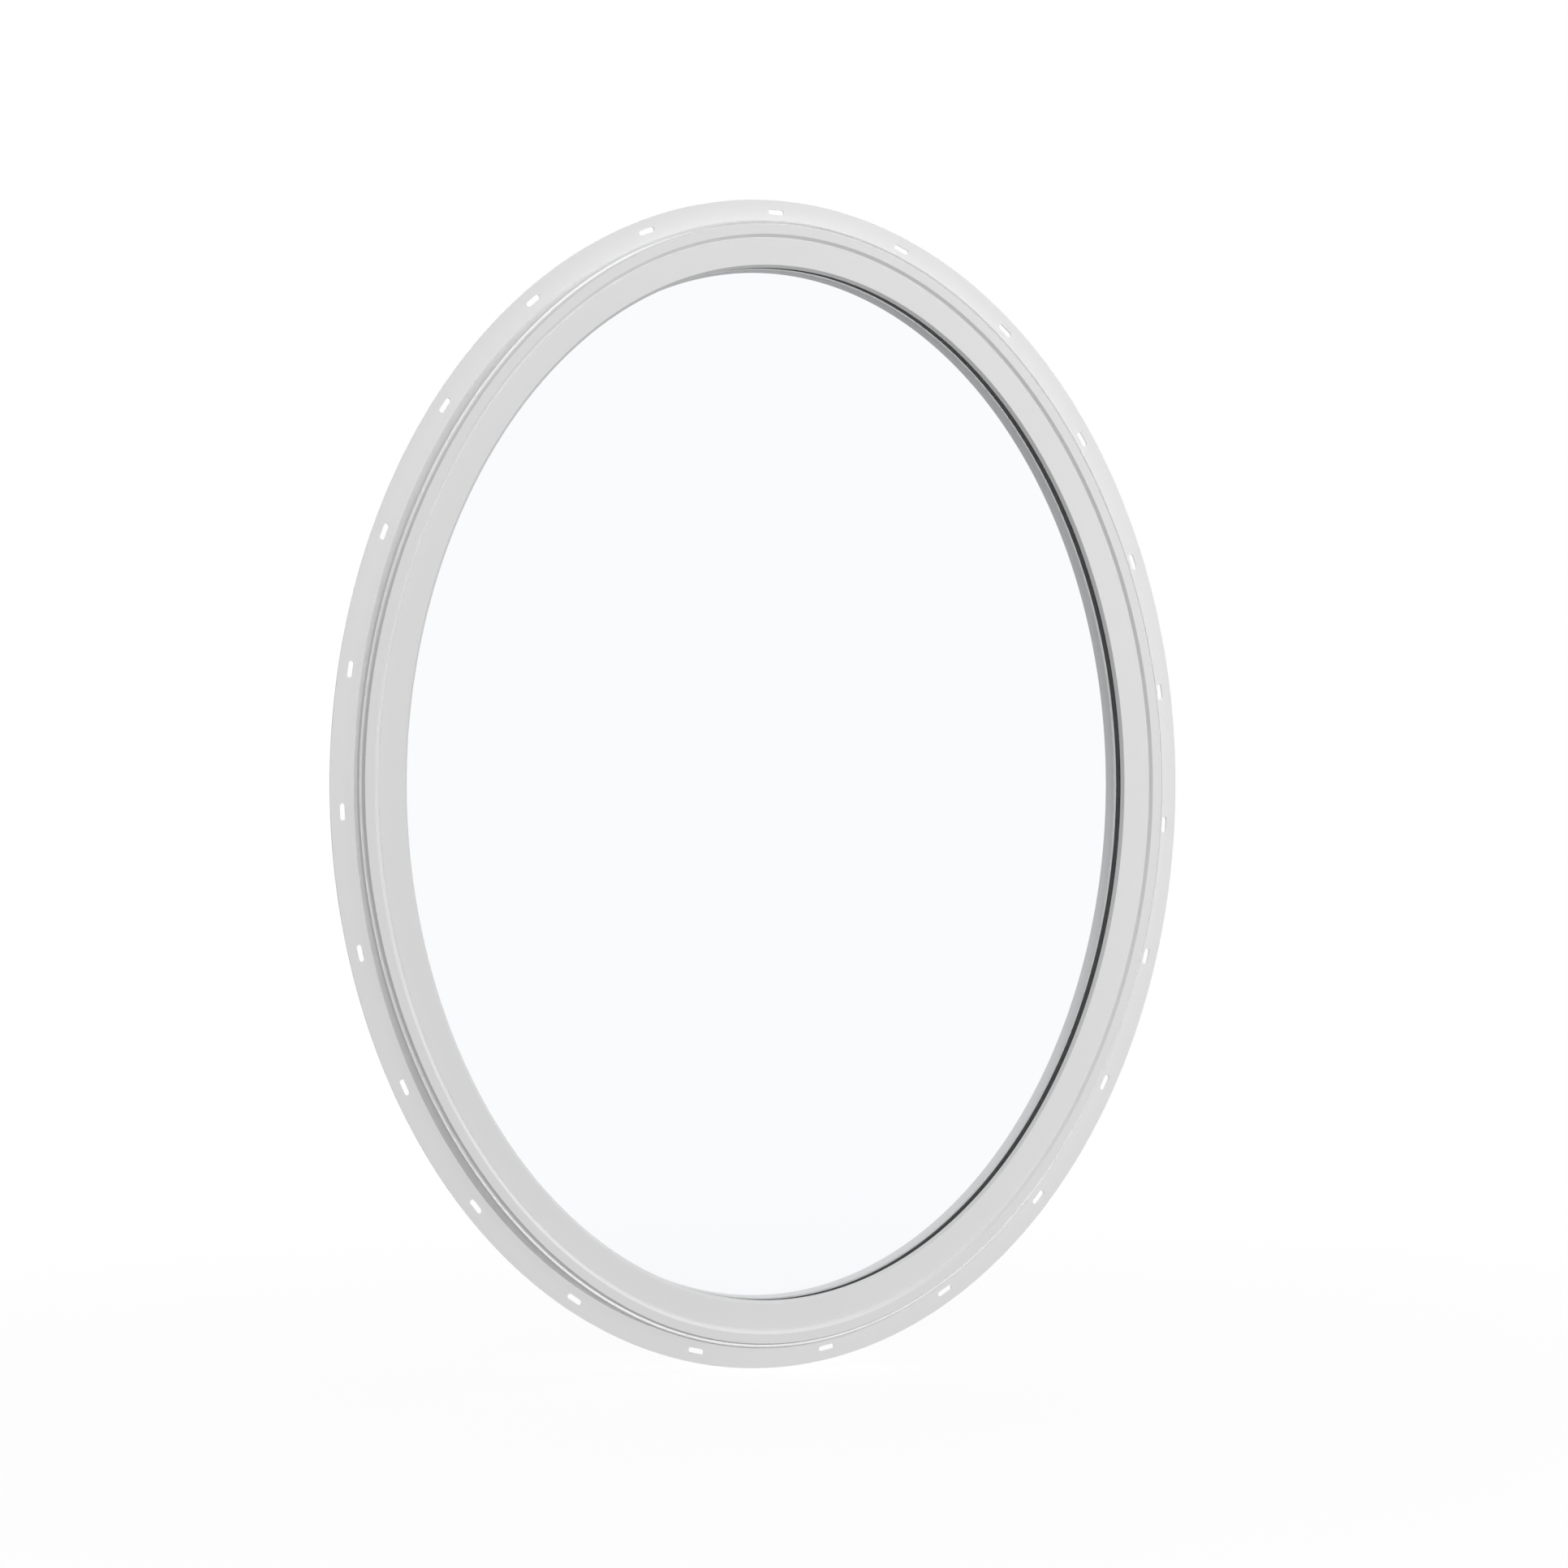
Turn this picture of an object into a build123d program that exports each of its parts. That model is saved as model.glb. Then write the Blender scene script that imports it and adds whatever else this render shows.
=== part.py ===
from build123d import *
import os

# Fixed oval window in white vinyl, as it comes from the maker, without the wall.
# Millimetres, +Z up, +X to the right seen from outside, and +Y into the room.
# The origin is the oval's centre on the nailing plane, the back face of the nail fin.

# Frame, measured on the outside of its elliptical face
frame_width = 914.4
frame_height = 1219.2
face_setback = 33.0  # from the nailing plane out to the front face
interior_reach = 18.5  # from the nailing plane into the room
stop_inset = 52.1  # from the frame's outside in to its clear opening
stop_draft = 0.6  # how much wider the clear opening is at the glass

# Accessory groove round the front of the frame, for trim and siding
lip_thickness = 2.6
lip_setback = 6.1  # the lip stands this far behind the front face
lip_slope = 3.5
lip_top = 0.8  # flat top of the lip, beside the groove
groove_width = 2.6
groove_depth = 19.0
barb_width = 1.3  # how far the groove's barb reaches towards the lip
barb_setback = 6.7  # from the front face to the barb's ledge
rim_chamfer = 1.1
rim_chamfer_depth = 2.4

# Front face, its bevel and the land beside the glazing bead
face_width = 10.1
bevel_width = 3.0
bevel_depth = 3.9
land_width = 2.0

# Nail fin, on a shoulder of the frame
fin_width = 24.7
fin_thickness = 3.2
shoulder_width = 4.0
fin_clearance = 0.15
slot_count = 23
slot_length = 17.8
slot_width = 5.5
slot_corner = 1.6  # each corner of a slot is cut off by this
slot_edge_distance = 12.8  # from the fin's outer edge to the line of the slots
slot_start = 8.3  # from the top of the oval, clockwise, to the first slot

# Sealed double glazing unit
glass_thickness = 2.5
cavity = 14.0
glass_setback = 25.0  # from the nailing plane out to the outer pane's front face
glass_inset = 38.0  # from the frame's outside to the edge of the glass
glass_edge_clearance = 5.0
spacer_inset = 50.0  # from the frame's outside to the spacer's visible face
spacer_height = 6.5
seal_recess = 0.5  # the edge seal stops this far short of the glass's edge

# Glazing tape on the frame's stop
tape_thickness = 3.0
tape_width = 9.0
tape_recess = 3.5

# Glazing bead in front of the glass
bead_proud = 0.5  # the bead stands this far in front of the land
bead_bevel_width = 3.1
bead_sightline = 52.3
tongue_thickness = 2.5
tongue_depth = 10.8
bead_clearance = 0.15
channel_end_clearance = 0.3

# Blocks that carry the glass and keep it central
block_angle = 7.0  # degrees of the ellipse that each block takes
block_clearance = 0.1  # to the frame
block_glass_clearance = 0.5
block_places = {
    "setting_block_left": 248.0,
    "setting_block_right": 292.0,
    "jamb_block_left": 180.0,
    "jamb_block_right": 0.0,
    "head_block_left": 112.0,
    "head_block_right": 68.0,
}

half_width = frame_width / 2
half_height = frame_height / 2

# Depths from the nailing plane, negative towards the outside
front_y = -face_setback
lip_y = front_y + lip_setback
groove_floor_y = lip_y + groove_depth
barb_y = front_y + barb_setback
land_y = front_y + bevel_depth
glass_front_y = -glass_setback
outer_pane_back_y = glass_front_y + glass_thickness
inner_pane_front_y = outer_pane_back_y + cavity
glass_back_y = inner_pane_front_y + glass_thickness
stop_y = glass_back_y + tape_thickness
bead_face_y = land_y - bead_proud
tongue_end_y = glass_front_y + tongue_depth
channel_floor_y = tongue_end_y + channel_end_clearance

# Insets from the frame's outside
groove_inset = lip_thickness + groove_width
face_inset = groove_inset + rim_chamfer
face_end_inset = face_inset + face_width
bevel_end_inset = face_end_inset + bevel_width
channel_inset = bevel_end_inset + land_width
bead_inset = channel_inset + bead_clearance
tongue_end_inset = bead_inset + tongue_thickness
channel_end_inset = tongue_end_inset + bead_clearance
pocket_inset = glass_inset - glass_edge_clearance
spacer_back_inset = spacer_inset - spacer_height
tape_inset = spacer_inset - tape_recess - tape_width


def section_plane(path):
    """Plane across the start of a path: x runs in from the frame's outside and y into the room."""
    along = path % 0
    inward = Vector(0, -1, 0).cross(along)
    return Plane(origin=path @ 0, x_dir=inward, z_dir=-along)


# Every curved piece follows the ellipse of the frame's outside
with BuildLine(Plane.XZ) as oval:
    EllipticalCenterArc((0, 0), half_width, half_height, 180, arc_size=360)
oval_path = oval.line.edge()
oval_section = section_plane(oval_path)


# Frame: one bent profile with the shoulder, the accessory groove, the channel and the stop
with BuildPart() as frame:
    with BuildSketch(oval_section):
        with BuildLine():
            Polyline(
                (shoulder_width, interior_reach),
                (shoulder_width, -fin_thickness),
                (0, -fin_thickness),
                (0, lip_y + lip_slope),
                (lip_thickness - lip_top, lip_y),
                (lip_thickness, lip_y),
                (lip_thickness, groove_floor_y),
                (groove_inset, groove_floor_y),
                (groove_inset, barb_y),
                (groove_inset - barb_width, barb_y),
                (groove_inset, front_y + rim_chamfer_depth),
                (face_inset, front_y),
                (face_end_inset, front_y),
                (bevel_end_inset, land_y),
                (channel_inset, land_y),
                (channel_inset, channel_floor_y),
                (channel_end_inset, channel_floor_y),
                (channel_end_inset, glass_front_y),
                (pocket_inset, glass_front_y),
                (pocket_inset, stop_y),
                (stop_inset - stop_draft, stop_y),
                (stop_inset, interior_reach),
                close=True,
            )
        make_face()
    sweep(path=oval_path)


# Nail fin: a flat elliptical flange with a row of slots at an even spacing
fin_half_width = half_width + fin_width
fin_half_height = half_height + fin_width
with BuildLine() as slot_line:
    EllipticalCenterArc(
        (0, 0),
        fin_half_width - slot_edge_distance,
        fin_half_height - slot_edge_distance,
        90,
        arc_size=-360,
    )
slot_path = slot_line.line.edge()
slot_places = []
for number in range(slot_count):
    share = slot_start / slot_path.length + number / slot_count
    direction = slot_path % share
    slot_places.append(
        Location(slot_path @ share, (0, 0, Vector(1, 0).get_signed_angle(direction)))
    )

with BuildSketch() as slot:
    Rectangle(slot_length, slot_width)
    chamfer(slot.vertices(), slot_corner)

with BuildPart() as nail_fin:
    with BuildSketch(Plane.XZ) as fin_outline:
        Ellipse(fin_half_width, fin_half_height)
        Ellipse(
            half_width - shoulder_width + fin_clearance,
            half_height - shoulder_width + fin_clearance,
            mode=Mode.SUBTRACT,
        )
        with Locations(*slot_places):
            add(slot.sketch, mode=Mode.SUBTRACT)
    extrude(amount=fin_thickness)


# Panes: the outer one first, each cut to the same ellipse
def pane(back_y):
    with BuildPart() as glass:
        with BuildSketch(Plane.XZ.offset(-back_y)):
            Ellipse(half_width - glass_inset, half_height - glass_inset)
        extrude(amount=glass_thickness)
    return glass


outer_pane = pane(outer_pane_back_y)
inner_pane = pane(glass_back_y)


def band(path, first_inset, last_inset, first_y, last_y):
    """A piece of rectangular section that follows the path."""
    with BuildPart() as strip:
        with BuildSketch(section_plane(path)):
            with Locations(((first_inset + last_inset) / 2, (first_y + last_y) / 2)):
                Rectangle(last_inset - first_inset, last_y - first_y)
        sweep(path=path)
    return strip


# Edge of the glazing unit: the spacer and the seal behind it
spacer = band(
    oval_path, spacer_back_inset, spacer_inset, outer_pane_back_y, inner_pane_front_y
)
edge_seal = band(
    oval_path,
    glass_inset + seal_recess,
    spacer_back_inset,
    outer_pane_back_y,
    inner_pane_front_y,
)

# Tape that beds the inner pane on the stop
glazing_tape = band(
    oval_path, tape_inset, tape_inset + tape_width, glass_back_y, stop_y
)


# Glazing bead: covers the edge of the glass and presses into the channel with its tongue
with BuildPart() as glazing_bead:
    with BuildSketch(oval_section):
        with BuildLine():
            Polyline(
                (bead_inset, tongue_end_y),
                (bead_inset, bead_face_y),
                (bead_sightline - bead_bevel_width, bead_face_y),
                (bead_sightline, glass_front_y),
                (tongue_end_inset, glass_front_y),
                (tongue_end_inset, tongue_end_y),
                close=True,
            )
        make_face()
    sweep(path=oval_path)


# Blocks between the frame and the edge of the glass
blocks = {}
for name, middle in block_places.items():
    with BuildLine(Plane.XZ) as stretch:
        EllipticalCenterArc(
            (0, 0),
            half_width,
            half_height,
            middle - block_angle / 2,
            arc_size=block_angle,
        )
    blocks[name] = band(
        stretch.line.edge(),
        pocket_inset + block_clearance,
        glass_inset - block_glass_clearance,
        glass_front_y,
        glass_back_y,
    )


pieces = {
    "frame": frame,
    "nail_fin": nail_fin,
    "outer_pane": outer_pane,
    "inner_pane": inner_pane,
    "spacer": spacer,
    "edge_seal": edge_seal,
    "glazing_tape": glazing_tape,
    "glazing_bead": glazing_bead,
    **blocks,
}

os.makedirs("parts", exist_ok=True)
for name, piece in pieces.items():
    piece.part.label = name
    export_step(piece.part, f"parts/{name}.step")
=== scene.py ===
import math
import bpy
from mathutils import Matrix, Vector


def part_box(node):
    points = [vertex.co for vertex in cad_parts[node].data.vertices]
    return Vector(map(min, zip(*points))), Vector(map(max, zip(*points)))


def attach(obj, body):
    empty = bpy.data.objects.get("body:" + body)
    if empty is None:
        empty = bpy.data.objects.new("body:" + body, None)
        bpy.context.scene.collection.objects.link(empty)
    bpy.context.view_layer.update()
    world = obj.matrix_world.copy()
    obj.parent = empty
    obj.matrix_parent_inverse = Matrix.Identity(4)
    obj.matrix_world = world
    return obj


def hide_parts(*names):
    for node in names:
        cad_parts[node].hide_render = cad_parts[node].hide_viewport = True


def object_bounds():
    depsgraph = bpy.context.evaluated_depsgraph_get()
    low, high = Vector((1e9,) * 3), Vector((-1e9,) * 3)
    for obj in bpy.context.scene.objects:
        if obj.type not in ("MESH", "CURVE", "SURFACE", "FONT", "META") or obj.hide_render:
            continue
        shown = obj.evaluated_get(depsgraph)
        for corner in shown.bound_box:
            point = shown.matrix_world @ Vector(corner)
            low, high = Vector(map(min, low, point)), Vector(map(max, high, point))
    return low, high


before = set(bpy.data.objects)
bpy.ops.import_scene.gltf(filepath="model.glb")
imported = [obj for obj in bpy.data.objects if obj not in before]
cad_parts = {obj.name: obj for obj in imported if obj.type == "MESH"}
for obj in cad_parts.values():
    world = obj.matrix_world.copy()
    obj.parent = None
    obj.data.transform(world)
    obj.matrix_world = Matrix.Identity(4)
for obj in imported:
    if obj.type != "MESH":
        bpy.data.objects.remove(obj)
cadBox = [list(corner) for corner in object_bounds()]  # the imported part's box, before anything is added
mm = 0.001

# The frame's oval outside carries every ring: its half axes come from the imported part.
# Depths run from the back of the nail fin, negative outwards
lowCorner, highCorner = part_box("frame")
halfWidth = (highCorner[0] - lowCorner[0]) / 2
halfHeight = (highCorner[2] - lowCorner[2]) / 2
faceDepth = lowCorner[1]
roomDepth = highCorner[1]
ovalSegments = 540  # steps round every oval, so that its outline stays smooth close up
print("frame loaded: oval", round(halfWidth * 2, 4), "x", round(halfHeight * 2, 4), "m")


# Helpers
def linearColour(hexColour):
    parts = [int(hexColour[i:i + 2], 16) / 255 for i in (0, 2, 4)]
    return [p / 12.92 if p <= 0.04045 else ((p + 0.055) / 1.055) ** 2.4 for p in parts] + [1.0]


# A Mix node of colours takes its share in socket 0 and its colours in 6 and 7, and gives output 2.
# A Map Range node takes the range it reads in 1 and 2, and the range it gives in 3 and 4
def addNode(tree, kind, inputs={}, **settings):
    node = tree.nodes.new(kind)
    for name, value in settings.items():
        setattr(node, name, value)
    for key, value in inputs.items():  # a node or a socket is linked, anything else is set
        if isinstance(value, bpy.types.Node):
            value = value.outputs[0]
        if isinstance(value, bpy.types.NodeSocket):
            tree.links.new(value, node.inputs[key])
        else:
            node.inputs[key].default_value = value
    return node


def addObject(name, data):
    made = bpy.data.objects.new(name, data)
    bpy.context.scene.collection.objects.link(made)
    return made


def startMaterial(name):
    material = bpy.data.materials.new(name)
    material.use_nodes = True
    material.node_tree.nodes.clear()
    return material, material.node_tree


def startShape(name, sizes):
    # An empty Geometry Nodes tree with one named input for each size
    tree = bpy.data.node_groups.new(name, "GeometryNodeTree")
    tree.interface.new_socket("Geometry", in_out="INPUT", socket_type="NodeSocketGeometry")
    for label, value in sizes.items():
        kind = "NodeSocketInt" if isinstance(value, int) else "NodeSocketFloat"
        tree.interface.new_socket(label, in_out="INPUT", socket_type=kind)
    tree.interface.new_socket("Material", in_out="INPUT", socket_type="NodeSocketMaterial")
    tree.interface.new_socket("Geometry", in_out="OUTPUT", socket_type="NodeSocketGeometry")
    return tree, addNode(tree, "NodeGroupInput").outputs


def endShape(tree, geometry, material):
    real = addNode(tree, "GeometryNodeRealizeInstances", {0: geometry})
    finished = addNode(tree, "GeometryNodeSetMaterial", {0: real, "Material": material})
    addNode(tree, "NodeGroupOutput", {0: finished})


def addOval(tree, segments, width, height):
    # A flat oval that starts at its right end and runs by way of its top
    circle = addNode(tree, "GeometryNodeCurvePrimitiveCircle", {
        "Resolution": segments, "Radius": 1.0})
    axes = addNode(tree, "ShaderNodeCombineXYZ", {0: width, 1: height, 2: 1.0})
    return addNode(tree, "GeometryNodeTransform", {"Geometry": circle, "Scale": axes})


def standUp(tree, geometry):
    # The shapes are made lying down: this turns their height from Y to Z
    return addNode(tree, "GeometryNodeTransform", {
        "Geometry": geometry, "Rotation": (math.pi / 2, 0, 0)})


def bakeShape(name, mesh, tree, values):
    # Runs a tree on a start mesh and keeps the result as a plain mesh
    holder = addObject(name + "Start", mesh)
    shaper = holder.modifiers.new("shape", "NODES")
    shaper.node_group = tree
    for socket in tree.interface.items_tree:
        if socket.in_out == "INPUT" and socket.name in values:
            shaper[socket.identifier] = values[socket.name]
    evener = holder.modifiers.new("normals", "WEIGHTED_NORMAL")  # flats look flat beside rounding
    evener.keep_sharp = True
    graph = bpy.context.evaluated_depsgraph_get()
    made = bpy.data.meshes.new_from_object(holder.evaluated_get(graph), depsgraph=graph)
    holder.modifiers.clear()
    bpy.data.objects.remove(holder)
    made.name = name
    return addObject(name, made)


def seenDirectly(tree):
    # 1 for the camera, for mirrors and through glass, but not for light that a matt surface gathers
    rays = addNode(tree, "ShaderNodeLightPath").outputs
    seen = rays["Is Camera Ray"]
    for name in ("Is Transmission Ray", "Is Glossy Ray"):
        seen = addNode(tree, "ShaderNodeMath", {0: seen, 1: rays[name]}, operation="MAXIMUM")
    first = addNode(tree, "ShaderNodeMath", {
        0: rays["Diffuse Depth"], 1: 0.5}, operation="LESS_THAN")
    return addNode(tree, "ShaderNodeMath", {0: seen, 1: first}, operation="MULTIPLY")


def dress(piece, node):
    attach(piece, "root")
    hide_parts(node)


noiseMiddle = (0.3, 0.7)  # nearly all of a noise texture's values lie between these

# Extruded rigid PVC, white all through: satin, with faint die lines along the extrusion
# and an even gloss that wavers a little, so a long face catches light softly and never mirrors
vinylLook = {
    "colour": "DFDFDF",
    "paleColour": "E3E3E3",
    "cloudSize": 140 * mm,
    "cloudDetail": 3.0,
    "dieLineSpacing": 1.1 * mm,  # real ones lie closer, and would be too fine to show
    "dieLineDetail": 4.0,
    "dieLineHeight": 0.006 * mm,
    "orangePeelSize": 2.2 * mm,
    "orangePeelDetail": 2.0,
    "orangePeelHeight": 0.003 * mm,
    "gloss": (0.36, 0.46),  # roughness, from the glossiest spots to the dullest
    "ior": 1.53,
}


def makeExtrudedVinyl(look):
    material, tree = startMaterial("extrudedWhiteVinyl")
    place = addNode(tree, "ShaderNodeTexCoord").outputs["Object"]
    across = addNode(tree, "ShaderNodeAttribute", attribute_name="acrossProfile").outputs["Fac"]
    clouds = addNode(tree, "ShaderNodeTexNoise", {
        "Vector": place, "Scale": 1 / look["cloudSize"], "Detail": look["cloudDetail"]})
    lineCount = addNode(tree, "ShaderNodeMath", {
        0: across, 1: 1 / look["dieLineSpacing"]}, operation="MULTIPLY")
    dieLines = addNode(tree, "ShaderNodeTexNoise", {
        "W": lineCount, "Scale": 1.0, "Detail": look["dieLineDetail"]}, noise_dimensions="1D")
    peel = addNode(tree, "ShaderNodeTexNoise", {
        "Vector": place, "Scale": 1 / look["orangePeelSize"], "Detail": look["orangePeelDetail"]})
    colour = addNode(tree, "ShaderNodeMix", {
        0: clouds.outputs["Fac"], 6: linearColour(look["colour"]),
        7: linearColour(look["paleColour"])}, data_type="RGBA")
    gloss = addNode(tree, "ShaderNodeMapRange", {
        0: clouds.outputs["Fac"], 1: noiseMiddle[0], 2: noiseMiddle[1],
        3: look["gloss"][0], 4: look["gloss"][1]})
    lines = addNode(tree, "ShaderNodeBump", {
        "Height": dieLines.outputs["Fac"], "Distance": look["dieLineHeight"], "Strength": 1.0})
    skin = addNode(tree, "ShaderNodeBump", {
        "Height": peel.outputs["Fac"], "Distance": look["orangePeelHeight"], "Strength": 1.0,
        "Normal": lines})
    surface = addNode(tree, "ShaderNodeBsdfPrincipled", {
        "Base Color": colour.outputs[2], "Roughness": gloss, "Normal": skin, "IOR": look["ior"]})
    addNode(tree, "ShaderNodeOutputMaterial", {"Surface": surface})
    return material


# Float glass: clear, flat and polished, with the faint draw of a toughened sheet in its
# reflections. Lamps pass straight through, so what is behind it isn't in the dark
glassLook = {
    "tint": "FCFDFE",
    "ior": 1.3,  # under the usual 1.52, so that the white room hardly veils the dark spacer
    "waveSize": 260 * mm,
    "waveHeight": 0.01 * mm,
}


def makeFloatGlass(look):
    material, tree = startMaterial("clearFloatGlass")
    place = addNode(tree, "ShaderNodeTexCoord").outputs["Object"]
    wave = addNode(tree, "ShaderNodeTexNoise", {
        "Vector": place, "Scale": 1 / look["waveSize"], "Detail": 0.0})
    draw = addNode(tree, "ShaderNodeBump", {
        "Height": wave.outputs["Fac"], "Distance": look["waveHeight"], "Strength": 1.0})
    tint = linearColour(look["tint"])
    glass = addNode(tree, "ShaderNodeBsdfPrincipled", {
        "Base Color": tint, "Roughness": 0.0, "IOR": look["ior"],
        "Transmission Weight": 1.0, "Normal": draw})
    through = addNode(tree, "ShaderNodeBsdfTransparent", {"Color": tint})
    lampRay = addNode(tree, "ShaderNodeLightPath").outputs["Is Shadow Ray"]
    mix = addNode(tree, "ShaderNodeMixShader", {0: lampRay, 1: glass, 2: through})
    addNode(tree, "ShaderNodeOutputMaterial", {"Surface": mix})
    return material


# Soft dark and pale compounds: foam, sealant and rubber differ in colour, gloss and grain
compoundLooks = {
    # closed-cell silicone foam, moulded flat: dead matt, with fine pores
    "siliconeFoamSpacer": {
        "colours": ("0F0F11", "18181A"), "grain": 0.5 * mm, "height": 0.05 * mm,
        "gloss": (0.82, 0.95)},
    # hot-applied butyl, tooled by hand: a low sheen over soft lumps
    "butylEdgeSealant": {
        "colours": ("171718", "202021"), "grain": 7 * mm, "height": 0.2 * mm,
        "gloss": (0.45, 0.62)},
    # polyethylene foam tape: chalky white, with cells a third of a millimetre wide
    "closedCellFoamTape": {
        "colours": ("DAD9D4", "E6E5E1"), "grain": 0.35 * mm, "height": 0.04 * mm,
        "gloss": (0.8, 0.95)},
    # cut neoprene: dull near-black with a talc bloom
    "solidRubberBlock": {
        "colours": ("1D1D1E", "2C2C2D"), "grain": 1.4 * mm, "height": 0.02 * mm,
        "gloss": (0.6, 0.8)},
}
compoundGrain = {"detail": 3.0, "harshness": 0.6, "relief": 0.6}  # what the four have in common


def makeCompound(name, look, grainLook):
    material, tree = startMaterial(name)
    place = addNode(tree, "ShaderNodeTexCoord").outputs["Object"]
    grain = addNode(tree, "ShaderNodeTexNoise", {
        "Vector": place, "Scale": 1 / look["grain"], "Detail": grainLook["detail"],
        "Roughness": grainLook["harshness"]}).outputs["Fac"]
    colour = addNode(tree, "ShaderNodeMix", {
        0: grain, 6: linearColour(look["colours"][0]), 7: linearColour(look["colours"][1])},
        data_type="RGBA")
    gloss = addNode(tree, "ShaderNodeMapRange", {
        0: grain, 1: noiseMiddle[0], 2: noiseMiddle[1], 3: look["gloss"][0], 4: look["gloss"][1]})
    relief = addNode(tree, "ShaderNodeBump", {
        "Height": grain, "Distance": look["height"], "Strength": grainLook["relief"]})
    surface = addNode(tree, "ShaderNodeBsdfPrincipled", {
        "Base Color": colour.outputs[2], "Roughness": gloss, "Normal": relief})
    addNode(tree, "ShaderNodeOutputMaterial", {"Surface": surface})
    return material


whiteVinyl = makeExtrudedVinyl(vinylLook)
floatGlass = makeFloatGlass(glassLook)
compounds = {name: makeCompound(name, look, compoundGrain) for name, look in compoundLooks.items()}
print("materials made")

# Ring tree: rounds the corners of a section, carries it round the frame's oval and draws it in
# a little on the oval's four diagonals
ringSizes = {
    "Half width": halfWidth,
    "Half height": halfHeight,
    "Segments": ovalSegments,
    "Corner steps": 3,
    "Diagonal inset": 4.5 * mm,  # how far the bent profile's rim comes in on the diagonals
}


def diagonalOffset(tree, given):
    # Inwards across the oval: nothing at its four ends, the most on the diagonals between them.
    # At the angle t of the oval its size follows the square of sin 2t
    axes = addNode(tree, "ShaderNodeCombineXYZ", {
        0: given["Half width"], 1: 1.0, 2: given["Half height"]})
    place = addNode(tree, "GeometryNodeInputPosition")
    onCircle = addNode(tree, "ShaderNodeVectorMath", {0: place, 1: axes}, operation="DIVIDE")
    level = addNode(tree, "ShaderNodeVectorMath", {
        0: onCircle, 1: (1, 0, 1)}, operation="MULTIPLY")
    unit = addNode(tree, "ShaderNodeVectorMath", {0: level}, operation="NORMALIZE")
    parts = addNode(tree, "ShaderNodeSeparateXYZ", {0: unit}).outputs
    product = addNode(tree, "ShaderNodeMath", {
        0: parts["X"], 1: parts["Z"]}, operation="MULTIPLY")
    doubled = addNode(tree, "ShaderNodeMath", {0: product, 1: 2.0}, operation="MULTIPLY")
    squared = addNode(tree, "ShaderNodeMath", {0: doubled, 1: 2.0}, operation="POWER")
    share = addNode(tree, "GeometryNodeInputNamedAttribute", {
        "Name": "diagonalShare"}, data_type="FLOAT")
    own = addNode(tree, "ShaderNodeMath", {0: squared, 1: share}, operation="MULTIPLY")
    inset = addNode(tree, "ShaderNodeMath", {
        0: own, 1: given["Diagonal inset"]}, operation="MULTIPLY")
    slope = addNode(tree, "ShaderNodeVectorMath", {0: unit, 1: axes}, operation="DIVIDE")
    turned = addNode(tree, "ShaderNodeVectorMath", {
        0: slope, 1: (-1, 0, -1)}, operation="MULTIPLY")
    inwards = addNode(tree, "ShaderNodeVectorMath", {0: turned}, operation="NORMALIZE")
    return addNode(tree, "ShaderNodeVectorMath", {0: inwards, "Scale": inset}, operation="SCALE")


def makeRingTree(sizes):
    tree, given = startShape("ovalRing", sizes)
    section = addNode(tree, "GeometryNodeMeshToCurve", {0: given["Geometry"]})
    radius = addNode(tree, "GeometryNodeInputNamedAttribute", {
        "Name": "cornerRadius"}, data_type="FLOAT")
    rounded = addNode(tree, "GeometryNodeFilletCurve", {
        "Curve": section, "Radius": radius, "Count": given["Corner steps"],
        "Limit Radius": True}, mode="POLY")
    along = addNode(tree, "GeometryNodeSplineParameter")
    marked = addNode(tree, "GeometryNodeStoreNamedAttribute", {
        "Geometry": rounded, "Name": "acrossProfile", "Value": along.outputs["Length"]},
        data_type="FLOAT", domain="POINT")
    oval = addOval(tree, given["Segments"], given["Half width"], given["Half height"])
    upright = addNode(tree, "GeometryNodeSetCurveNormal", {"Curve": oval}, mode="Z_UP")
    swept = addNode(tree, "GeometryNodeCurveToMesh", {"Curve": upright, "Profile Curve": marked})
    outwards = addNode(tree, "GeometryNodeFlipFaces", {0: swept})
    bent = addNode(tree, "GeometryNodeSetPosition", {
        "Geometry": standUp(tree, outwards), "Offset": diagonalOffset(tree, given)})
    smooth = addNode(tree, "GeometryNodeSetShadeSmooth", {
        "Geometry": bent, "Shade Smooth": True})
    endShape(tree, smooth, given["Material"])
    return tree


ringTree = makeRingTree(ringSizes)


def makeRing(name, section, material):
    # section: points of (inset from the frame's outside, depth, corner radius), in millimetres,
    # and for a point that comes in on the diagonals, its share of the rim's inset there
    mesh = bpy.data.meshes.new(name + "Section")
    count = len(section)
    mesh.from_pydata([(-point[0] * mm, point[1] * mm, 0) for point in section],
                     [(i, (i + 1) % count) for i in range(count)], [])
    radii = mesh.attributes.new("cornerRadius", "FLOAT", "POINT")
    shares = mesh.attributes.new("diagonalShare", "FLOAT", "POINT")
    for i, (inset, depth, radius, *share) in enumerate(section):
        radii.data[i].value = radius * mm
        shares.data[i].value = share[0] if share else 0.0
    return bakeShape(name, mesh, ringTree, {**ringSizes, "Material": material})


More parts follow.
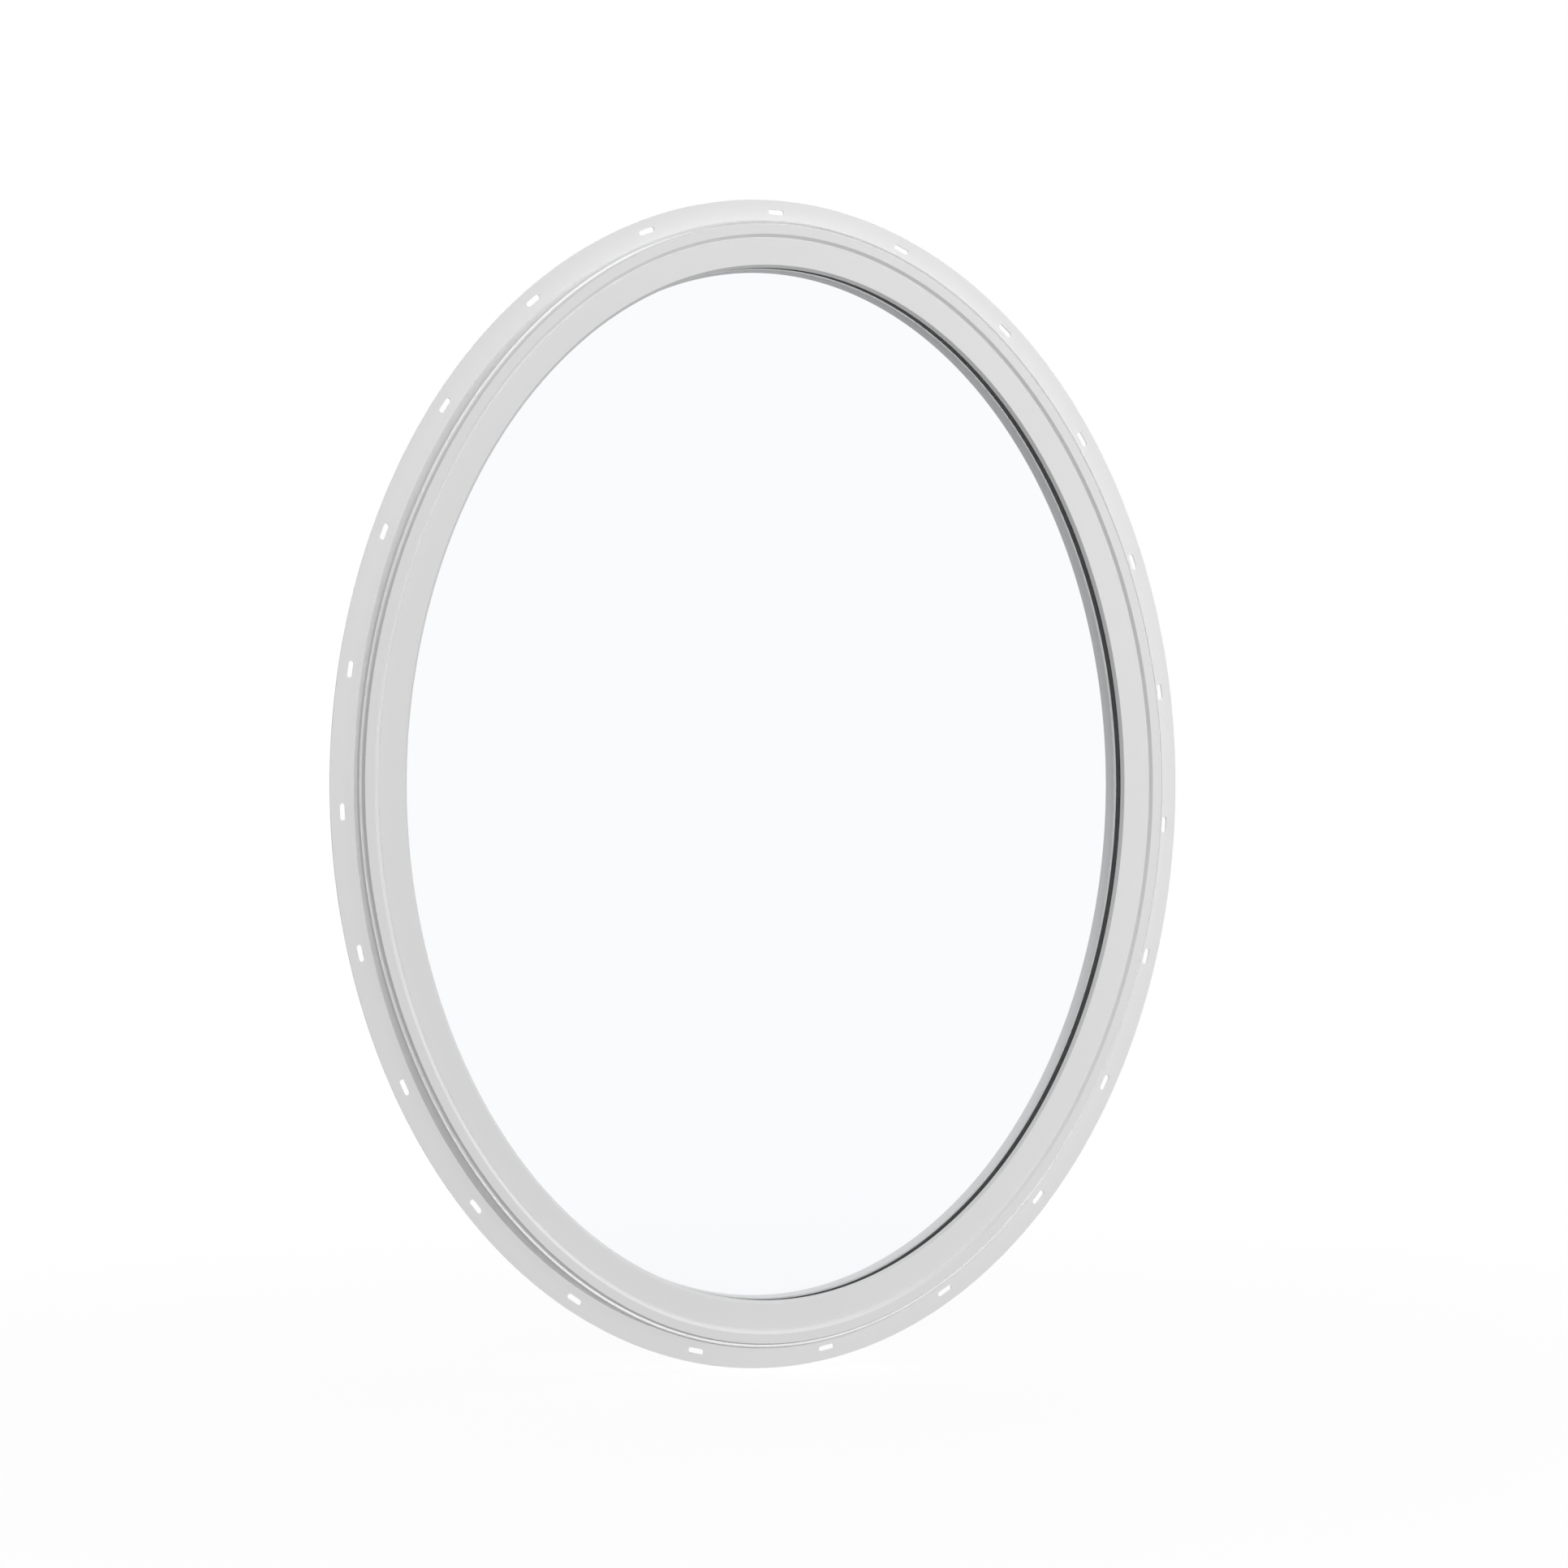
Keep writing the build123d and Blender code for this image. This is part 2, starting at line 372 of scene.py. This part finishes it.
# Frame: lip, accessory groove with its two barbs, front face, bevel, land, channel and stop.
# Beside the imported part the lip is 0.3 mm thinner and the groove 0.3 mm wider, so that its
# dark line is as bold as the real one
frameSizes = {
    "shoulder": 4.0,
    "finThickness": 3.2,
    "lipFront": -26.9,
    "lipSlope": 3.5,
    "lipTop": 0.8,
    "lipThickness": 2.3,
    "grooveWidth": 2.9,
    "grooveFloor": -7.9,
    "barbWidth": 1.3,
    "barbLedges": (-13.7, -26.3),
    "barbLength": 4.3,
    "rimChamfer": 1.1,
    "faceWidth": 10.1,
    "bevelWidth": 3.0,
    "bevelDepth": 3.9,
    "landWidth": 2.0,
    "channelWidth": 2.8,
    "channelFloor": -13.9,
    "glassFront": -25.0,
    "pocket": 33.0,
    "stopFront": -3.0,
    "stopEdge": (51.5, 52.1),  # at the glass and at the room
    "crispRadius": 0.2,
    "edgeRadius": 0.4,
    "outerRadius": 0.8,
    "diagonalShares": {"lip": 0.85, "rim": 1.0, "bevel": 0.78, "land": 0.6},
}


def frameSection(s):
    face, room = faceDepth / mm, roomDepth / mm
    crisp, edge, outer = s["crispRadius"], s["edgeRadius"], s["outerRadius"]
    shares = s["diagonalShares"]
    lip, rim, bevel, land = shares["lip"], shares["rim"], shares["bevel"], shares["land"]
    lipEnd = s["lipThickness"]
    grooveEnd = lipEnd + s["grooveWidth"]
    faceStart = grooveEnd + s["rimChamfer"]
    faceEnd = faceStart + s["faceWidth"]
    bevelEnd = faceEnd + s["bevelWidth"]
    channel = bevelEnd + s["landWidth"]
    channelEnd = channel + s["channelWidth"]
    landDepth = face + s["bevelDepth"]
    points = [
        (s["shoulder"], room, outer),
        (s["shoulder"], -s["finThickness"], 0),
        (0, -s["finThickness"], 0),
        (0, s["lipFront"] + s["lipSlope"], outer, lip),
        (lipEnd - s["lipTop"], s["lipFront"], crisp, lip),
        (lipEnd, s["lipFront"], crisp, lip),
        (lipEnd, s["grooveFloor"], edge, lip),
        (grooveEnd, s["grooveFloor"], edge, rim),
    ]
    for ledge in s["barbLedges"]:
        points += [
            (grooveEnd, ledge, 0, rim),
            (grooveEnd - s["barbWidth"], ledge, crisp, rim),
            (grooveEnd, ledge - s["barbLength"], 0, rim),
        ]
    return points + [
        (faceStart, face, edge, rim),
        (faceEnd, face, edge, bevel),
        (bevelEnd, landDepth, edge, bevel),
        (channel, landDepth, crisp, land),
        (channel, s["channelFloor"], 0, land),
        (channelEnd, s["channelFloor"], 0, land),
        (channelEnd, s["glassFront"], 0, land),
        (s["pocket"], s["glassFront"], 0),
        (s["pocket"], s["stopFront"], 0),
        (s["stopEdge"][0], s["stopFront"], edge),
        (s["stopEdge"][1], room, outer),
    ]


windowFrame = makeRing("windowFrame", frameSection(frameSizes), whiteVinyl)
dress(windowFrame, "frame")
print("frame ring:", len(windowFrame.data.polygons), "faces")

# Glazing bead: wide flat face, bevelled sight edge, tongue in the frame's channel
beadSizes = {
    "outside": 21.55,
    "tongueInside": 24.05,
    "tongueEnd": -14.2,
    "face": -29.6,
    "back": -25.0,
    "bevelStart": 49.2,
    "sightEdge": 52.3,
    "edgeRadius": 0.45,
    "bevelRadius": 0.675,
    "sightRadius": 0.225,
    "diagonalShares": {"outside": 0.6, "sightEdge": 0.25},
}


def beadSection(s):
    edge = s["edgeRadius"]
    outer, inner = s["diagonalShares"]["outside"], s["diagonalShares"]["sightEdge"]
    return [
        (s["outside"], s["tongueEnd"], edge, outer),
        (s["outside"], s["face"], edge, outer),
        (s["bevelStart"], s["face"], s["bevelRadius"], inner),
        (s["sightEdge"], s["back"], s["sightRadius"], inner),
        (s["tongueInside"], s["back"], 0, outer),
        (s["tongueInside"], s["tongueEnd"], edge, outer),
    ]


glazingBead = makeRing("glazingBead", beadSection(beadSizes), whiteVinyl)
dress(glazingBead, "glazing_bead")
print("glazing bead made")

# Edge of the glazing unit and the tape behind it: plain rectangular bands. The spacer reaches
# 0.8 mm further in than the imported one, and a little more on the diagonals, as its dark line does
bandSizes = {
    "edgeSpacer": {
        "node": "spacer", "slot": "black_spacer", "material": "siliconeFoamSpacer",
        "insets": (43.5, 50.8), "depths": (-22.5, -8.5), "radius": 0.5, "share": 0.25},
    "edgeSealant": {
        "node": "edge_seal", "slot": "black_sealant", "material": "butylEdgeSealant",
        "insets": (38.5, 43.5), "depths": (-22.5, -8.5), "radius": 0.8, "share": 0.0},
    "glassTape": {
        "node": "glazing_tape", "slot": "white_tape", "material": "closedCellFoamTape",
        "insets": (37.5, 46.5), "depths": (-6.0, -3.0), "radius": 0.4, "share": 0.0},
}


def bandSection(s):
    outer, inner = s["insets"]
    front, back = s["depths"]
    radius, share = s["radius"], s["share"]
    return [
        (outer, back, radius),
        (outer, front, radius),
        (inner, front, radius, share),
        (inner, back, radius, share),
    ]


for name, s in bandSizes.items():
    dress(makeRing(name, bandSection(s), compounds[s["material"]]), s["node"])
print("spacer, sealant and tape made")

# Nail fin: two ovals and a row of round-ended slots are filled, then given their thickness
finLow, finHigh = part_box("nail_fin")
finSeat = 3.85 * mm  # the fin's inner edge, on the frame's shoulder, from the frame's outside
finSizes = {
    "Outer half width": (finHigh[0] - finLow[0]) / 2,
    "Outer half height": (finHigh[2] - finLow[2]) / 2,
    "Inner half width": halfWidth - finSeat,
    "Inner half height": halfHeight - finSeat,
    "Thickness": finHigh[1] - finLow[1],
    "Slot edge distance": 12.8 * mm,
    "Slot length": 17.8 * mm,
    "Slot width": 5.5 * mm,
    "Slot end share": 0.499,  # end radius in slot widths: just under half, so no two points meet
    "Slot end steps": 10,
    "Slot start": 8.3 * mm,  # clockwise from the top to the first slot
    "Slots": 23,
    "Segments": ovalSegments,
    "Weld distance": 0.001 * mm,
}
ovalTop = 0.25  # share of an oval's length from its start, at the right end, to its top


def makeSlotRow(tree, given):
    # Rounded oblongs at even steps, clockwise along an oval inside the fin's edge
    halfAxes = [addNode(tree, "ShaderNodeMath", {
        0: given[name], 1: given["Slot edge distance"]}, operation="SUBTRACT")
        for name in ("Outer half width", "Outer half height")]
    line = addOval(tree, given["Segments"], *halfAxes)
    length = addNode(tree, "GeometryNodeCurveLength", {0: line})
    start = addNode(tree, "ShaderNodeMath", {
        0: given["Slot start"], 1: length}, operation="DIVIDE")
    first = addNode(tree, "ShaderNodeMath", {0: ovalTop, 1: start}, operation="SUBTRACT")
    number = addNode(tree, "GeometryNodeInputIndex")
    step = addNode(tree, "ShaderNodeMath", {0: number, 1: given["Slots"]}, operation="DIVIDE")
    back = addNode(tree, "ShaderNodeMath", {0: first, 1: step}, operation="SUBTRACT")
    raised = addNode(tree, "ShaderNodeMath", {0: back, 1: 1.0}, operation="ADD")
    share = addNode(tree, "ShaderNodeMath", {0: raised}, operation="FRACT")
    spot = addNode(tree, "GeometryNodeSampleCurve", {
        "Curves": line, "Factor": share}, mode="FACTOR").outputs
    points = addNode(tree, "GeometryNodePoints", {
        "Count": given["Slots"], "Position": spot["Position"]})
    turn = addNode(tree, "FunctionNodeAlignRotationToVector", {
        "Vector": spot["Tangent"]}, axis="X")
    block = addNode(tree, "GeometryNodeCurvePrimitiveQuadrilateral", {
        "Width": given["Slot length"], "Height": given["Slot width"]})
    radius = addNode(tree, "ShaderNodeMath", {
        0: given["Slot width"], 1: given["Slot end share"]}, operation="MULTIPLY")
    slot = addNode(tree, "GeometryNodeFilletCurve", {
        "Curve": block, "Radius": radius, "Count": given["Slot end steps"],
        "Limit Radius": True}, mode="POLY")
    row = addNode(tree, "GeometryNodeInstanceOnPoints", {
        "Points": points, "Instance": slot, "Rotation": turn})
    return addNode(tree, "GeometryNodeRealizeInstances", {0: row})


def joinShapes(tree, shapes):
    joined = addNode(tree, "GeometryNodeJoinGeometry")
    for shape in shapes:
        tree.links.new(shape.outputs[0], joined.inputs[0])
    return joined


def makeFinTree(sizes):
    tree, given = startShape("slottedFin", sizes)
    outside, inside = [
        addOval(tree, given["Segments"], given[edge + " half width"], given[edge + " half height"])
        for edge in ("Outer", "Inner")]
    outlines = joinShapes(tree, (outside, inside, makeSlotRow(tree, given)))
    flat = addNode(tree, "GeometryNodeFillCurve", {0: outlines}, mode="TRIANGLES")
    thick = addNode(tree, "GeometryNodeExtrudeMesh", {
        "Mesh": flat, "Offset Scale": given["Thickness"], "Individual": False}, mode="FACES")
    underside = addNode(tree, "GeometryNodeFlipFaces", {0: flat})
    closed = addNode(tree, "GeometryNodeMergeByDistance", {
        0: joinShapes(tree, (thick, underside)), "Distance": given["Weld distance"]})
    endShape(tree, standUp(tree, closed), given["Material"])
    return tree


finMesh = bpy.data.meshes.new("finStart")
nailFin = bakeShape("nailFin", finMesh, makeFinTree(finSizes), {**finSizes, "Material": whiteVinyl})
dress(nailFin, "nail_fin")
print("nail fin:", len(nailFin.data.polygons), "faces")

# Panes: true ellipses with a narrow ground arris on both edges
paneSizes = {
    "arris": 0.4 * mm,
    "segments": ovalSegments,
    "nodes": {"outerGlass": "outer_pane", "innerGlass": "inner_pane"},
}


def makePane(name, node, s):
    low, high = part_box(node)
    wide, tall = (high[0] - low[0]) / 2, (high[2] - low[2]) / 2
    front, back, arris, count = low[1], high[1], s["arris"], s["segments"]
    rings = [(arris, front), (0, front + arris), (0, back - arris), (arris, back)]
    turns = [2 * math.pi * i / count for i in range(count)]
    points = [((wide - inset) * math.cos(t), depth, (tall - inset) * math.sin(t))
              for inset, depth in rings for t in turns]
    faces = [tuple(range(count)), tuple(range(len(points) - 1, len(points) - count - 1, -1))]
    for ring in range(len(rings) - 1):
        for i in range(count):
            j, base = (i + 1) % count, ring * count
            faces.append((base + i, base + count + i, base + count + j, base + j))
    mesh = bpy.data.meshes.new(name)
    mesh.from_pydata(points, [], faces)
    mesh.materials.append(floatGlass)
    return addObject(name, mesh)


for name, node in paneSizes["nodes"].items():
    dress(makePane(name, node, paneSizes), node)
print("panes made")

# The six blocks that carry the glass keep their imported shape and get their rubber
for name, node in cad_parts.items():
    if name.endswith(("block_left", "block_right")):
        node.data.materials.clear()
        node.data.materials.append(compounds["solidRubberBlock"])
print("blocks dressed")

# Floor: plain and pale. The camera sees it as white that keeps the window's soft shadow;
# the light that it throws back up is that of a mid grey, so undersides stay shaded
floorLook = {
    "seenColour": "FAFAFA",
    "bounceColour": "989898",
    "fade": (0.3, 1.6),  # metres from the middle, over which the floor turns to plain white
    "ownWhite": 0.7,  # share of plain white in the middle, which thins the shadow
    "radius": 12.0,  # metres
}


def makeFloor(look):
    mesh = bpy.data.meshes.new("studioFloor")
    r, z = look["radius"], cadBox[0][2]
    mesh.from_pydata([(-r, -r, z), (r, -r, z), (r, r, z), (-r, r, z)], [], [(0, 1, 2, 3)])
    material, tree = startMaterial("paleStudioFloor")
    seen = seenDirectly(tree)
    colour = addNode(tree, "ShaderNodeMix", {
        0: seen, 6: linearColour(look["bounceColour"]),
        7: linearColour(look["seenColour"])}, data_type="RGBA")
    matt = addNode(tree, "ShaderNodeBsdfDiffuse", {"Color": colour.outputs[2]})
    white = addNode(tree, "ShaderNodeEmission", {"Strength": 1.0})
    place = addNode(tree, "ShaderNodeTexCoord").outputs["Object"]
    level = addNode(tree, "ShaderNodeVectorMath", {
        0: place, 1: (1, 1, 0)}, operation="MULTIPLY")
    distance = addNode(tree, "ShaderNodeVectorMath", {0: level}, operation="LENGTH")
    fade = addNode(tree, "ShaderNodeMapRange", {
        0: distance.outputs["Value"], 1: look["fade"][0], 2: look["fade"][1],
        3: look["ownWhite"], 4: 1.0})
    share = addNode(tree, "ShaderNodeMath", {0: fade, 1: seen}, operation="MULTIPLY")
    mix = addNode(tree, "ShaderNodeMixShader", {0: share, 1: matt, 2: white})
    addNode(tree, "ShaderNodeOutputMaterial", {"Surface": mix})
    mesh.materials.append(material)
    floor = addObject("studioFloor", mesh)


makeFloor(floorLook)

# Light: broad soft boxes over an even room light. The key stands to the right of the front and
# the next one overhead, so faces that look up or right are the palest. The one behind lights the
# back and the far inner wall. Only the room light casts shadows, so fin and groove stay clear
lightPlan = {
    "roomLight": 0.22,  # strength of the white world where it lights things; it shows as 1
    "boxDistance": 8.0,  # metres
    "boxSize": 4.0,  # metres
    "boxes": {  # direction from the window, power in watts, and whether it shows in reflections
        "keyBox": ((0.45, -1.0, 0.2), 425.0, False),
        "topBox": ((0.0, -0.05, 1.0), 240.0, False),
        "rightBox": ((1.0, -0.05, 0.45), 60.0, True),
        "leftBox": ((-1.0, -0.1, 0.1), 95.0, False),
        "backBox": ((-0.15, 1.0, 0.35), 400.0, False),
    },
}


def makeLights(plan):
    world = bpy.data.worlds.new("softRoom")
    bpy.context.scene.world = world
    world.use_nodes = True
    tree = world.node_tree
    tree.nodes.clear()
    strength = addNode(tree, "ShaderNodeMapRange", {
        0: seenDirectly(tree), 1: 0.0, 2: 1.0, 3: plan["roomLight"], 4: 1.0})
    sky = addNode(tree, "ShaderNodeBackground", {"Color": (1, 1, 1, 1), "Strength": strength})
    addNode(tree, "ShaderNodeOutputWorld", {"Surface": sky})
    for name, (direction, power, mirrored) in plan["boxes"].items():
        lamp = bpy.data.lights.new(name, "AREA")
        lamp.shape, lamp.size, lamp.energy = "SQUARE", plan["boxSize"], power
        lamp.use_shadow = False
        box = addObject(name, lamp)
        towards = Vector(direction).normalized()
        box.location = towards * plan["boxDistance"]
        box.rotation_euler = towards.to_track_quat("Z", "Y").to_euler()
        box.visible_glossy = mirrored
        box.visible_camera = box.visible_transmission = False  # never a square behind the glass


makeLights(lightPlan)

# Camera: level with the middle of the oval and a little to its left
cameraView = {
    "place": (-1.2063, -3.7423, 0.0),
    "direction": (0.3110, 0.9504, 0.0),
    "lens": 83.03,
    "sensor": 36.0,
}


def makeCamera(view):
    lens = bpy.data.cameras.new("camera")
    lens.lens, lens.sensor_width = view["lens"], view["sensor"]
    camera = addObject("camera", lens)
    camera.location = view["place"]
    camera.rotation_euler = Vector(view["direction"]).to_track_quat("-Z", "Y").to_euler()
    bpy.context.scene.camera = camera


makeCamera(cameraView)
bpy.context.scene.view_settings.view_transform = "Standard"
print("floor, light and camera placed")
